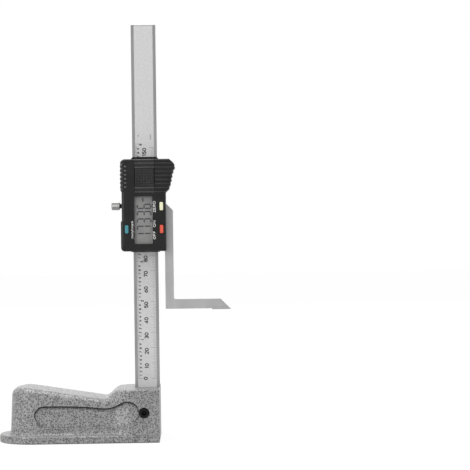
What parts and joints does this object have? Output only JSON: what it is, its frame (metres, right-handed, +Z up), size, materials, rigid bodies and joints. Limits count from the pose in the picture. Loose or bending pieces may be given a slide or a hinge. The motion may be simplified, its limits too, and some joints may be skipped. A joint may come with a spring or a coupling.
{
  "type": "digital height gauge",
  "caption": "Height gauge: a long cast base holds an upright flat beam with a printed scale, and a digital slider with an L-shaped scriber, thumb grip and lock screw runs along it.",
  "frame": {"origin": "on the ground face of the base, under the middle of the beam", "axes": "+X towards the scriber's tip, +Y to the back of the beam, +Z up along the beam"},
  "size_m": [0.1508, 0.044, 0.269],
  "materials": {
    "hammered_paint": "grey hammered paint on cast iron",
    "ground_steel": "fine ground stainless steel",
    "black_screw": "black oxide",
    "screw_steel": "turned steel",
    "strip_laminate": "glass fibre laminate",
    "scale_print": "satin grey foil with black print",
    "hard_tip": "ground carbide",
    "table_print": "black foil with pale print",
    "bronze": "plain",
    "board_green": "solder resist",
    "black_resin": "cast resin",
    "spring_contact": "gold plated",
    "dark_rubber": "matt",
    "display_cell": "grey liquid crystal cell",
    "clear_window": "clear polished",
    "cell_steel": "nickel plated",
    "case_black": "fine spark-eroded grain",
    "key_cream": "satin",
    "key_red": "satin",
    "key_blue": "satin",
    "bright_screw": "knurled and plated"
  },
  "bodies": {
    "stand": {"base_casting": "hammered_paint", "beam_clamp_screw": "black_screw", "beam": "ground_steel", "scale_strip": "strip_laminate", "scale_label": "scale_print", "stop_screw": "screw_steel", "stop_washer": "screw_steel"},
    "slider": {"slider_frame": "ground_steel", "scriber_tip": "hard_tip", "back_label": "table_print", "gib_strip": "bronze", "gib_screws": "black_screw", "sensor_board": "board_green", "sensor_chip": "black_resin", "key_domes": "spring_contact", "contact_rubbers": "dark_rubber", "display_glass": "display_cell", "display_window": "clear_window", "battery": "cell_steel", "battery_contact_plus": "spring_contact", "battery_contact_minus": "spring_contact", "housing": "case_black", "housing_screws": "screw_steel", "grip_plate": "case_black", "grip_screw": "screw_steel", "upper_wiper": "dark_rubber", "lower_wiper": "dark_rubber"},
    "battery_lid": {"battery_cover": "case_black"},
    "zero_key": {"zero_button": "key_cream"},
    "power_key": {"power_button": "key_red"},
    "unit_key": {"unit_button": "key_blue"},
    "clamp_pad": {"lock_pad": "bronze"},
    "clamp_screw": {"lock_screw": "bright_screw"}
  },
  "joints": [
    {"name": "slider_travel", "type": "slide", "parent": "stand", "child": "slider", "axis": [0, 0, 1], "range_m": [-0.0835, 0.082]},
    {"name": "battery_cover_slide", "type": "slide", "parent": "slider", "child": "battery_lid", "axis": [0, 0, 1], "range_m": [0, 0.022]},
    {"name": "zero_press", "type": "slide", "parent": "slider", "child": "zero_key", "axis": [0, 1, 0], "range_m": [0, 0.0004], "stiffness_N_per_m": 400, "springref_m": -0.0005},
    {"name": "power_press", "type": "slide", "parent": "slider", "child": "power_key", "axis": [0, 1, 0], "range_m": [0, 0.0004], "stiffness_N_per_m": 400, "springref_m": -0.0005},
    {"name": "unit_press", "type": "slide", "parent": "slider", "child": "unit_key", "axis": [0, 1, 0], "range_m": [0, 0.0004], "stiffness_N_per_m": 400, "springref_m": -0.0005},
    {"name": "lock_advance", "type": "slide", "parent": "slider", "child": "clamp_pad", "axis": [-1, 0, 0], "range_m": [0, 0.00075]},
    {"name": "lock_turn", "type": "hinge", "parent": "clamp_pad", "child": "clamp_screw", "pos_m": [-0.0155, 0, 0.1515], "axis": [-1, 0, 0], "range_deg": [0, 540]}
  ],
  "couplings": [
    {"joint": "lock_turn", "follows": "lock_advance", "rad_per_m": 12566}
  ]
}
